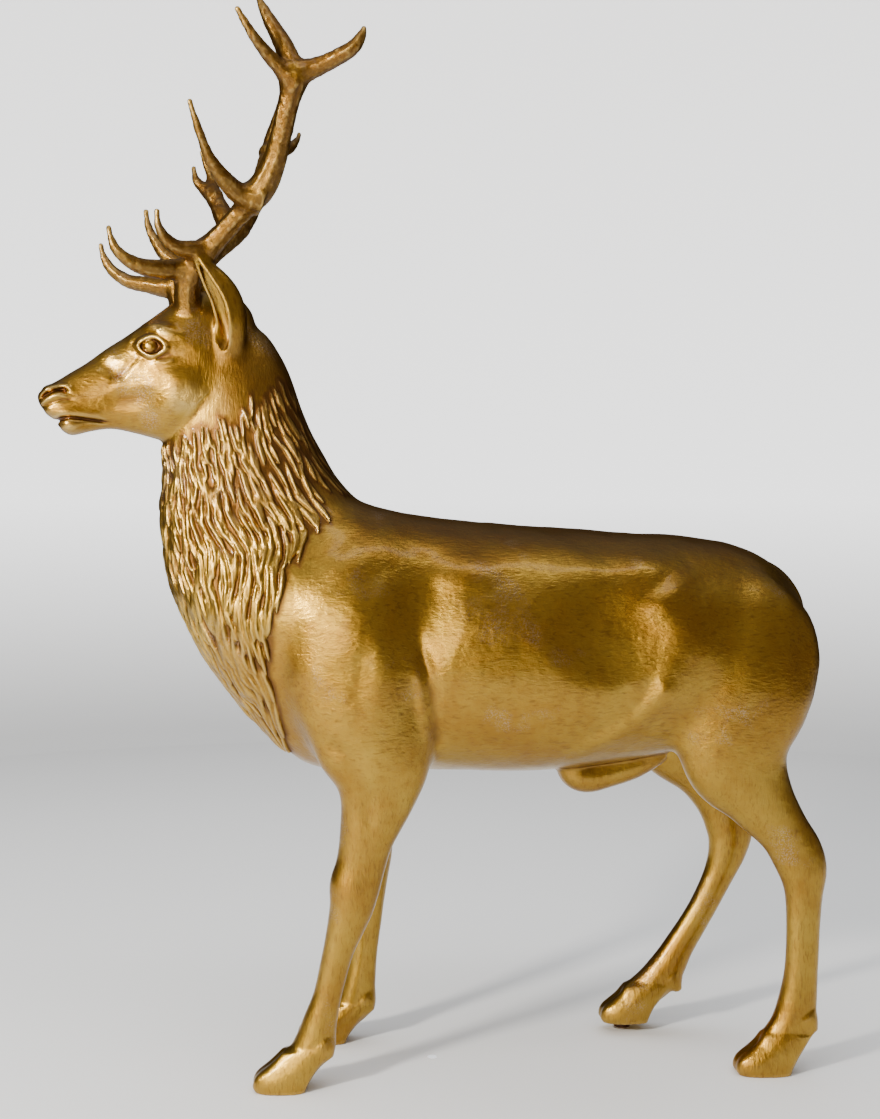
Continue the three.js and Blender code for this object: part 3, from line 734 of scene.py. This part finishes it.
def boxed(grid, margin):
    """A grid with the box of cells that it can reach."""
    low, high = grid.evalActiveVoxelBoundingBox()
    return np.array(low) - margin, np.array(high) + margin, grid


def reaching(pieces, start):
    """Those pieces whose boxes touch the block."""
    return [piece for piece in pieces
            if (start < piece[1]).all() and (start + BLOCK > piece[0]).all()]


def casting_field(cell, lock_width, lock_length):
    """All the forms run together in blocks: one sparse grid of distances, with its aids."""
    reach = 8 * cell
    coarse, corner = body_clay(2 * cell)
    bare = (coarse, corner, 2 * cell)
    head, head_low = head_clay(cell)
    ruff = clay(merged(ruff_locks(lock_width, lock_length, bare)), cell, reach)
    feet = [(hoof_solid(index, side), HOOF_BLEND) for index in range(4) for side in (-1, 1)]
    feet += [(dewclaw_solid(spec, side), DEWCLAW_BLEND) for spec in DEWCLAWS for side in (-1, 1)]
    grids = [(ruff, LOCK_BLEND)] + [(clay(solid, cell, reach), blend) for solid, blend in feet]
    pieces = [(*boxed(grid, int(blend / cell) + 2), blend) for grid, blend in grids]
    antlers = [grid for parts in (LEFT_ANTLER, RIGHT_ANTLER)
               for grid in antler_grids(parts, cell, reach)]
    horns = [boxed(grid, 6) for grid in antlers]
    body = np.clip(refined(coarse), -reach, reach)
    low, high = cells([-880, -370, -30], cell), cells([850, 400, 2230], cell)
    starts = [np.array([i, j, k]) for i in range(low[0], high[0], BLOCK)
              for j in range(low[1], high[1], BLOCK) for k in range(low[2], high[2], BLOCK)]

    def block(start):
        field = np.full((BLOCK,) * 3, reach, np.float32)
        for solid, foot, blend in ((body, corner * 2, SHARP), (head, head_low, HEAD_BLEND)):
            lo, hi = np.maximum(start, foot), np.minimum(start + BLOCK, foot + solid.shape)
            if (hi > lo).all():
                inside = region(lo - start, hi - start)
                field[inside] = soft_min(field[inside], solid[region(lo - foot, hi - foot)],
                                         blend)
        for _, _, grid, blend in reaching(pieces, start):
            field = soft_min(field, filled(field.shape, start, grid), blend)
        horn = None
        for _, _, grid in reaching(horns, start):
            tine = filled(field.shape, start, grid)
            horn = tine if horn is None else soft_min(horn, tine, TINE_BLEND)
        if horn is not None:
            field = soft_min(field, pearled(horn, start, cell), HORN_BLEND)
        # the soles are cut off level, on the ground or on the stud
        x, y, z = ((s + np.arange(BLOCK)) * cell for s in start)
        raised = (np.abs(x - 450) < 110)[:, None] & (y > 60)[None, :]
        ground = np.where(raised, STUD_HEIGHT, 0.0)[:, :, None] - z
        return np.clip(np.maximum(field, ground), -reach, reach).astype(np.float32)

    whole = openvdb.FloatGrid(reach)
    whole.transform = openvdb.createLinearTransform(voxelSize=cell)
    with ThreadPoolExecutor(4) as pool:
        for start, field in zip(starts, pool.map(block, starts)):
            if field.min() < reach:
                whole.copyFromArray(field, ijk=tuple(int(v) for v in start), tolerance=0.0)
    return whole, ruff, antlers, bare


def pearled(field, start, cell):
    """Fine pearling all over the antlers."""
    near = np.argwhere(np.abs(field) < 2.5 * cell)
    if not len(near):
        return field
    places = (near + start) * cell
    rough = grain(places / [6.0, 6.0, 9.0], 3) * 0.8 + grain(places / 3.4, 4) * 0.6
    field = field.copy()
    field[tuple(near.T)] -= rough.astype(np.float32)
    return field


def sampled(grid, places, cell, size=64):
    """The field at any places, read in blocks and run smoothly between cells."""
    index = places / cell
    base = np.floor(index).astype(int)
    values = np.zeros(len(places))
    tile = base // size
    order = np.lexsort(tile.T)
    cuts = np.flatnonzero(np.any(np.diff(tile[order], axis=0) != 0, axis=1)) + 1
    for group in np.split(order, cuts):
        start = tile[group[0]] * size
        block = filled((size + 1,) * 3, start, grid)
        b = base[group] - start
        values[group] = between(index[group] - base[group], lambda d: block[tuple((b + d).T)])
    return values


def gradient(grid, places, cell):
    """The way straight out of the surface."""
    return unit(np.stack([
        sampled(grid, places + shift, cell) - sampled(grid, places - shift, cell)
        for shift in np.eye(3) * cell], 1))


def largest_body(points, faces):
    """Only the one connected skin, without any speck or inner bubble."""
    label = np.arange(len(points))
    while True:
        low = label[faces].min(1)
        new = label.copy()
        np.minimum.at(new, faces.ravel(), np.repeat(low, faces.shape[1]))
        new = new[new]
        if (new == label).all():
            break
        label = new
    names, counts = np.unique(label[faces[:, 0]], return_counts=True)
    keep = label[faces[:, 0]] == names[counts.argmax()]
    faces = faces[keep]
    used = np.unique(faces)
    place = np.full(len(points), -1)
    place[used] = np.arange(len(used))
    return points[used], place[faces]


def linked(name, data):
    """A new object in the scene."""
    made = bpy.data.objects.new(name, data)
    bpy.context.scene.collection.objects.link(made)
    return made


def mesh_from(name, points, faces):
    mesh = bpy.data.meshes.new(name)
    mesh.vertices.add(len(points))
    mesh.vertices.foreach_set("co", points.astype(np.float32).ravel())
    mesh.loops.add(faces.size)
    mesh.loops.foreach_set("vertex_index", faces.astype(np.int32).ravel())
    mesh.polygons.add(len(faces))
    starts = np.arange(0, faces.size, faces.shape[1], dtype=np.int32)
    mesh.polygons.foreach_set("loop_start", starts)
    mesh.polygons.foreach_set("use_smooth", np.ones(len(faces), bool))
    mesh.update(calc_edges=True)
    mesh.validate()
    return mesh


def points_and_faces(mesh):
    """The points and triangles of a mesh as plain arrays."""
    points = np.empty(len(mesh.vertices) * 3, np.float32)
    faces = np.empty(len(mesh.loops), np.int32)
    mesh.vertices.foreach_get("co", points)
    mesh.loops.foreach_get("vertex_index", faces)
    return points.reshape(-1, 3).astype(float), faces.reshape(-1, 3)


def thinned(mesh, triangles):
    """The mesh with its flat stretches thinned out, down to a number of triangles."""
    obj = linked("thinning", mesh)
    modifier = obj.modifiers.new("thin", "DECIMATE")
    modifier.ratio = min(1.0, triangles / (2 * len(mesh.polygons)))
    modifier.use_collapse_triangulate = True
    graph = bpy.context.evaluated_depsgraph_get()
    result = bpy.data.meshes.new_from_object(obj.evaluated_get(graph))
    bpy.data.objects.remove(obj)
    bpy.data.meshes.remove(mesh)
    return result


def frame_shift():
    """From the sculptor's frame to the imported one, in metres, by the middle of the stud."""
    low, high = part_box("levelling_stud")
    middle = (np.array(low) + np.array(high)) / 2
    heel, y, _, length = HOOVES[3]
    own = np.array([heel - length / 2, y + STUD_ASIDE])
    return np.array([middle[0] - own[0] * MM, middle[1] - own[1] * MM, 0.0])


def around_mean(grid, places, cell, radius):
    """The mean distance on a small ball round each place: negative in a hollow."""
    ways = unit(np.array([(i, j, k) for i in (-1, 0, 1) for j in (-1, 0, 1) for k in (-1, 0, 1)
                          if abs(i) + abs(j) + abs(k) in (1, 3)], float))
    cloud = (places[None] + ways[:, None] * radius).reshape(-1, 3)
    return sampled(grid, cloud, cell).reshape(len(ways), -1).mean(0) / radius


def casting_mesh(settings):
    """The whole skin as one closed mesh, with its shading and its masks for patina, worn ridges,
    hair and painted shade measured on it.
    """
    cell = settings.cell_size / MM * 1.0
    whole, ruff, antlers, bare = casting_field(
        cell, settings.lock_width / MM, settings.lock_length / MM)
    points, _, quads = whole.convertToPolygons(isovalue=0.0, adaptivity=0.0)
    rough = thinned(mesh_from("rough_skin", points, quads), settings.triangles)
    places, faces = largest_body(*points_and_faces(rough))
    bpy.data.meshes.remove(rough)
    a, b, c = places[faces].transpose(1, 0, 2)
    if np.einsum("ij,ij->i", a, np.cross(b, c)).sum() < 0:
        faces = faces[:, ::-1]
    mesh = mesh_from("stag_skin", places, faces)
    normals = gradient(whole, places, cell)
    x, z = places[:, 0], places[:, 2]
    from_lock = sampled(ruff, places, cell)
    between_locks = 1 - step(0.5, 5.5, read_clay(*bare, places))
    horn = np.min([sampled(grid, places, cell) for grid in antlers], axis=0)
    upright = np.maximum(1 - step(560, 720, z), step(-180, -300, x) * step(1000, 1200, z))
    face = step(-500, -560, x) * step(1310, 1345, z)
    trunk = step(-260, -160, x) * (1 - step(640, 740, x))
    nape = step(-520, -430, x) * step(1080, 1230, z)
    patina_wear_and_painted_shade = {
        "crease": -around_mean(whole, places, cell, 6.0),
        "hollow": -around_mean(whole, places, cell, 16.0),
        "ruff": 1 - step(1.0, 4.0, from_lock),
        # patina and painted shade: the bottom of the grooves between the locks is made dark with
        # umber
        "groove": between_locks * (1 - step(5.0, 12.0, from_lock)),
        "horn": 1 - step(3.0, 6.0, horn),
        "upright": upright * (1 - face),
        # painted shade: the upward faces of the back are made darker, towards umber
        "painted_shade_on_back": step(0.45, 0.9, normals[:, 2]) * trunk * step(900, 1000, z),
        # painted shade: the upper neck behind the head, below the ears, is made darker
        "nape": nape * (1 - step(1500, 1560, z)),
    }
    for name, values in patina_wear_and_painted_shade.items():
        layer = mesh.attributes.new(name, "FLOAT", "POINT")
        layer.data.foreach_set("value", values.astype(np.float32))
    moved = places * MM + frame_shift()
    mesh.vertices.foreach_set("co", moved.astype(np.float32).ravel())
    mesh.update()
    mesh.normals_split_custom_set_from_vertices(normals)
    return mesh


# ---- finishes ------------------------------------------------------------------------------

def put(tree, kind, values=None, **settings):
    """One shader node, with its settings, and values or links on its sockets."""
    node = tree.nodes.new(kind)
    for name, value in settings.items():
        setattr(node, name, value)
    for key, value in (values or {}).items():
        if isinstance(value, bpy.types.NodeSocket):
            tree.links.new(value, node.inputs[key])
        else:
            node.inputs[key].default_value = value
    return node


def blank(name):
    """An empty material, its tree and the object's own coordinates."""
    material = bpy.data.materials.new(name)
    material.use_nodes = True
    tree = material.node_tree
    tree.nodes.clear()
    return material, tree, put(tree, "ShaderNodeTexCoord").outputs["Object"]


def surfaced(tree, sockets):
    shader = put(tree, "ShaderNodeBsdfPrincipled", sockets)
    put(tree, "ShaderNodeOutputMaterial", {"Surface": shader.outputs[0]})


def math_node(tree, operation, a, b, clamp=False):
    return put(tree, "ShaderNodeMath", {0: a, 1: b}, operation=operation,
               use_clamp=clamp).outputs[0]


def times(tree, a, b):
    return math_node(tree, "MULTIPLY", a, b)


def most(tree, *values):
    top = values[0]
    for value in values[1:]:
        top = math_node(tree, "MAXIMUM", top, value)
    return top


def ranged(tree, value, low, high, to_low=0.0, to_high=1.0):
    return put(tree, "ShaderNodeMapRange", {
        "Value": value, "From Min": low, "From Max": high, "To Min": to_low, "To Max": to_high,
    }, clamp=True).outputs["Result"]


def noise(tree, vector, scale, detail=3.0, roughness=0.55, distortion=0.0):
    return put(tree, "ShaderNodeTexNoise", {
        "Vector": vector, "Scale": scale, "Detail": detail, "Roughness": roughness,
        "Distortion": distortion}).outputs["Fac"]


def mixed(tree, share, first, second):
    """Two colours mixed."""
    return put(tree, "ShaderNodeMix", {0: share, 6: first, 7: second},
               data_type="RGBA").outputs[2]


def faded(tree, share, first, second):
    """Two plain values mixed."""
    return put(tree, "ShaderNodeMix", {0: share, 2: first, 3: second}).outputs[0]


def bumped(tree, height, strength, distance, **below):
    return put(tree, "ShaderNodeBump", {
        "Height": height, "Strength": strength, "Distance": distance, **below}).outputs[0]


def stretched(tree, vector, scale):
    return put(tree, "ShaderNodeVectorMath", {0: vector, 1: scale},
               operation="MULTIPLY").outputs[0]


def point_value(tree, name):
    return put(tree, "ShaderNodeAttribute", attribute_name=name).outputs["Fac"]


def gilded_bronze(settings):
    """Gold leaf tones over bronze, browner with patina in the hollows, darker with painted shade
    on the top of the back, on the nape and between the locks, with a fine combed hair.
    """
    material, tree, place = blank("gilded_bronze")
    crease, hollow, ruff, horn, upright, painted_shade_on_back, nape, groove = (
        point_value(tree, name) for name in (
            "crease", "hollow", "ruff", "horn", "upright", "painted_shade_on_back", "nape", "groove"))
    gold, amber, umber = ((*c, 1.0) for c in (settings.gold, settings.amber, settings.umber))
    clouds = noise(tree, place, 4.5, 4.0, 0.6)
    mottle = noise(tree, place, 38.0, 4.0, 0.65)
    tone = math_node(tree, "ADD", ranged(tree, clouds, 0.36, 0.62, 0.0, 0.75),
                     ranged(tree, mottle, 0.35, 0.7, 0.0, 0.45), clamp=True)
    colour = mixed(tree, tone, gold, amber)
    dark = math_node(tree, "ADD", ranged(tree, hollow, 0.03, 0.30, 0.0, 0.55),
                     ranged(tree, crease, 0.03, 0.30, 0.0, 0.95), clamp=True)
    # umber goes in as patina in the hollows and creases and as the antlers' own darker colour; as
    # painted shade on the top of the back and on the nape; as patina and painted shade at the
    # bottom of the grooves between the locks
    dark = most(tree, dark, times(tree, horn, 0.72), times(tree, painted_shade_on_back, 0.62),
                times(tree, nape, 0.5), times(tree, groove, 0.9))
    colour = mixed(tree, dark, colour, umber)
    worn = ranged(tree, crease, -0.05, -0.30, 0.0, 0.55)
    colour = mixed(tree, worn, colour, (0.74, 0.52, 0.17, 1.0))
    lengthwise = stretched(tree, place, (55.0, 230.0, 190.0))
    downwards = stretched(tree, place, (230.0, 230.0, 50.0))
    hair = faded(tree, upright, noise(tree, lengthwise, 1.0, 2.0, 0.5, 0.6),
                 noise(tree, downwards, 1.0, 2.0, 0.5, 0.6))
    strands = noise(tree, stretched(tree, place, (420.0, 420.0, 30.0)), 1.0, 2.0)
    chased = faded(tree, ruff, hair, strands)
    pitted = faded(tree, horn, chased, noise(tree, place, 260.0, 3.0))
    streaked = times(tree, ranged(tree, pitted, 0.52, 0.74, 0.0, 0.45),
                     math_node(tree, "SUBTRACT", 1.0, dark))
    colour = mixed(tree, streaked, colour, umber)
    patches = ranged(tree, noise(tree, place, 7.0, 3.0, 0.5), 0.60, 0.68)
    specks = ranged(tree, noise(tree, place, 330.0, 2.0, 0.7), 0.50, 0.58)
    rubbed = times(tree, times(tree, patches, specks), 0.4)
    bump = bumped(tree, pitted, 0.35, 0.0022)
    surfaced(tree, {
        "Base Color": mixed(tree, rubbed, colour, (0.46, 0.36, 0.27, 1.0)), "Metallic": 1.0,
        "Roughness": math_node(tree, "ADD", ranged(tree, mottle, 0.3, 0.7, 0.29, 0.36),
                               times(tree, dark, 0.14)),
        "Normal": bumped(tree, noise(tree, place, 60.0, 3.0, 0.5), 0.25, 0.004, Normal=bump),
        "Coat Weight": 0.28, "Coat Roughness": 0.12, "Coat IOR": 1.4})
    return material


def stud_iron():
    """Rusty dark iron with a coarse pitted skin."""
    material, tree, place = blank("stud_iron")
    rust = ranged(tree, noise(tree, place, 120.0, 5.0, 0.7), 0.35, 0.65)
    surfaced(tree, {
        "Base Color": mixed(tree, rust, (0.035, 0.018, 0.012, 1.0), (0.16, 0.055, 0.022, 1.0)),
        "Roughness": ranged(tree, rust, 0.0, 1.0, 0.45, 0.8), "Metallic": 0.6,
        "Normal": bumped(tree, noise(tree, place, 320.0, 4.0), 0.5, 0.001)})
    return material


def studio_paint(settings):
    """Matt pale paint, very slightly clouded, that glows a little higher up the wall."""
    material, tree, place = blank("studio_paint")
    shade = tuple(c * 0.97 for c in settings.paint)
    height = put(tree, "ShaderNodeSeparateXYZ", {0: place}).outputs["Z"]
    surfaced(tree, {
        "Base Color": mixed(tree, noise(tree, place, 0.8, 2.0), (*settings.paint, 1.0),
                            (*shade, 1.0)),
        "Roughness": 0.75, "Emission Color": (0.97, 0.985, 1.0, 1.0),
        "Emission Strength": ranged(tree, height, 0.0, 1.3, 0.0, WALL_GLOW)})
    return material


# ---- settings, operators and panel ---------------------------------------------------------

def colour_setting(name, description, default):
    return FloatVectorProperty(name=name, description=description, subtype="COLOR",
                               default=default, min=0.0, max=1.0)


class StagSettings(PropertyGroup):
    cell_size: FloatProperty(
        name="Finest detail", description="Size of the smallest form in the skin",
        default=0.0025, min=0.001, max=0.01, unit="LENGTH")
    triangles: IntProperty(
        name="Triangles", description="How many triangles the skin is thinned down to",
        default=198000, min=20000, max=400000)
    lock_width: FloatProperty(
        name="Lock width", description="Width of one lock of the ruff",
        default=0.0132, min=0.005, max=0.05, unit="LENGTH")
    lock_length: FloatProperty(
        name="Lock length", description="Length of one lock of the ruff",
        default=0.084, min=0.03, max=0.3, unit="LENGTH")
    gold: colour_setting("Gold", "Bright gilding", (0.40, 0.250, 0.034))
    amber: colour_setting("Amber", "Thin gilding over bronze", (0.30, 0.155, 0.018))
    # umber is the patina in the hollows, and also the painted shade on the top of the back, on
    # the nape and at the bottom of the grooves between the locks
    umber: colour_setting("Umber", "Patina in the hollows", (0.11, 0.045, 0.012))


class StudioSettings(PropertyGroup):
    paint: colour_setting("Paint", "Colour of the floor and backdrop", (0.84, 0.85, 0.865))
    lens: FloatProperty(
        name="Lens", description="Focal length of the camera", default=46.26, min=10.0, max=200.0)
    key_power: FloatProperty(
        name="Key light", description="Power of the light in front on the left",
        default=230.0, min=0.0, max=2000.0, unit="POWER")
    top_power: FloatProperty(
        name="Top light", description="Power of the broad light overhead",
        default=22.0, min=0.0, max=2000.0, unit="POWER")


class STAG_OT_casting(Operator):
    """Sculpt the whole casting as one skin and give it its gilding"""
    bl_idname = "stag.casting"
    bl_label = "Cast stag"

    def execute(self, context):
        settings = context.scene.stag_settings
        mesh = casting_mesh(settings)
        stag = linked("stag_casting", mesh)
        mesh.materials.append(gilded_bronze(settings))
        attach(stag, "root")
        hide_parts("stag")
        return {"FINISHED"}


class STAG_OT_stud(Operator):
    """Give the levelling stud its rusty iron"""
    bl_idname = "stag.stud"
    bl_label = "Levelling stud"

    def execute(self, context):
        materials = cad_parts["levelling_stud"].data.materials
        materials.clear()
        materials.append(stud_iron())
        return {"FINISHED"}


def add_light(name, at, target, size, power, colour):
    data = bpy.data.lights.new(name, "AREA")
    data.shape = "RECTANGLE"
    data.size, data.size_y = size
    data.energy = power
    data.color = colour
    light = linked(name, data)
    light.location = at
    light.rotation_euler = (Vector(target) - light.location).to_track_quat("-Z", "Y").to_euler()
    return light


def add_dish(name, profile, paint):
    """A round part of the studio, turned about the upright axis from radii and heights."""
    angles = all_round(96)
    rings = np.array([[(r * math.cos(a), r * math.sin(a), z) for a in angles]
                      for r, z in profile])
    mesh = mesh_from(name, rings.reshape(-1, 3), bands(*rings.shape[:2])[:, [0, 3, 2, 1]])
    mesh.materials.append(paint)
    dish = linked(name, mesh)
    return dish


def studio_world(scene):
    """Air that the metal mirrors: warm in front, dim behind, pale above and to the eye."""
    world = bpy.data.worlds.new("studio_air")
    scene.world = world
    world.use_nodes = True
    tree = world.node_tree
    tree.nodes.clear()
    way = put(tree, "ShaderNodeTexCoord").outputs["Generated"]
    split = put(tree, "ShaderNodeSeparateXYZ", {0: way}).outputs
    air = mixed(tree, ranged(tree, split["Y"], 0.5, -0.3), (0.05, 0.034, 0.018, 1.0),
                (0.38, 0.30, 0.21, 1.0))
    air = mixed(tree, ranged(tree, split["Z"], 0.55, 1.0), air, (0.55, 0.56, 0.58, 1.0))
    seen = put(tree, "ShaderNodeLightPath").outputs["Is Camera Ray"]
    air = mixed(tree, seen, air, (1.6, 1.62, 1.65, 1.0))
    glow = put(tree, "ShaderNodeBackground", {"Color": air, "Strength": 0.8})
    put(tree, "ShaderNodeOutputWorld", {"Surface": glow.outputs[0]})


class STAG_OT_studio(Operator):
    """Lay the floor and backdrop, hang the soft lights and set up the camera"""
    bl_idname = "stag.studio"
    bl_label = "Studio"

    def execute(self, context):
        scene = context.scene
        settings = scene.studio_settings
        paint = studio_paint(settings)
        curve = [(FLOOR_RADIUS + SWEEP_RADIUS * math.sin(turn),
                  SWEEP_RADIUS * (1 - math.cos(turn)))
                 for turn in np.linspace(0, math.pi / 2, 17)]
        add_dish("studio_floor", [(0.01, 0.0), (FLOOR_RADIUS, 0.0)], paint)
        wall = add_dish("studio_wall", [*curve, (FLOOR_RADIUS + SWEEP_RADIUS, WALL_TOP)], paint)
        # the wall is only a backdrop: the metal mirrors the dim room beyond it
        wall.visible_glossy = wall.visible_diffuse = wall.visible_shadow = False
        add_light("key_softbox", (-3.0, -2.7, 2.45), (-0.2, 0, 1.0), (0.48, 0.48),
                  settings.key_power, (1.0, 0.95, 0.86))
        add_light("top_softbox", (0.2, -1.3, 4.0), (0.1, 0, 1.0), (3.0, 0.5),
                  settings.top_power, (1.0, 0.97, 0.96))
        fill = add_light("fill_panel", (-2.0, -4.2, 1.4), (0.0, 0, 0.95), (3.0, 2.2),
                         130.0, (1.0, 0.90, 0.62))
        fill.visible_diffuse = False    # it only mirrors in the metal, not on the floor
        ceiling = add_light("ceiling_wash", (0.0, 0.0, 5.5), (0.0, 0.0, 0.0), (9.0, 9.0),
                            500.0, (0.95, 0.98, 1.0))
        ceiling.visible_glossy = False
        studio_world(scene)
        data = bpy.data.cameras.new("camera")
        data.lens = settings.lens
        data.sensor_width = 36.0
        data.shift_y = CAMERA_SHIFT
        camera = linked("camera", data)
        camera.location = CAMERA_AT
        camera.rotation_euler = (math.radians(90), 0.0, CAMERA_TURN)
        scene.camera = camera
        return {"FINISHED"}


class STAG_PT_panel(Panel):
    """Everything that makes up the stag and its studio"""
    bl_label = "Bronze Stag"
    bl_idname = "STAG_PT_panel"
    bl_space_type = "VIEW_3D"
    bl_region_type = "UI"
    bl_category = "Bronze Stag"

    def draw(self, context):
        layout = self.layout
        for name in StagSettings.__annotations__:
            layout.prop(context.scene.stag_settings, name)
        layout.operator("stag.casting")
        layout.operator("stag.stud")
        for name in StudioSettings.__annotations__:
            layout.prop(context.scene.studio_settings, name)
        layout.operator("stag.studio")


CLASSES = (StagSettings, StudioSettings, STAG_OT_casting, STAG_OT_stud, STAG_OT_studio,
           STAG_PT_panel)


def register():
    for cls in CLASSES:
        bpy.utils.register_class(cls)
    bpy.types.Scene.stag_settings = PointerProperty(type=StagSettings)
    bpy.types.Scene.studio_settings = PointerProperty(type=StudioSettings)


def unregister():
    del bpy.types.Scene.studio_settings
    del bpy.types.Scene.stag_settings
    for cls in reversed(CLASSES):
        bpy.utils.unregister_class(cls)


def main():
    register()
    bpy.ops.stag.studio()
    bpy.ops.stag.stud()
    bpy.ops.stag.casting()


if __name__ == "__main__":
    main()
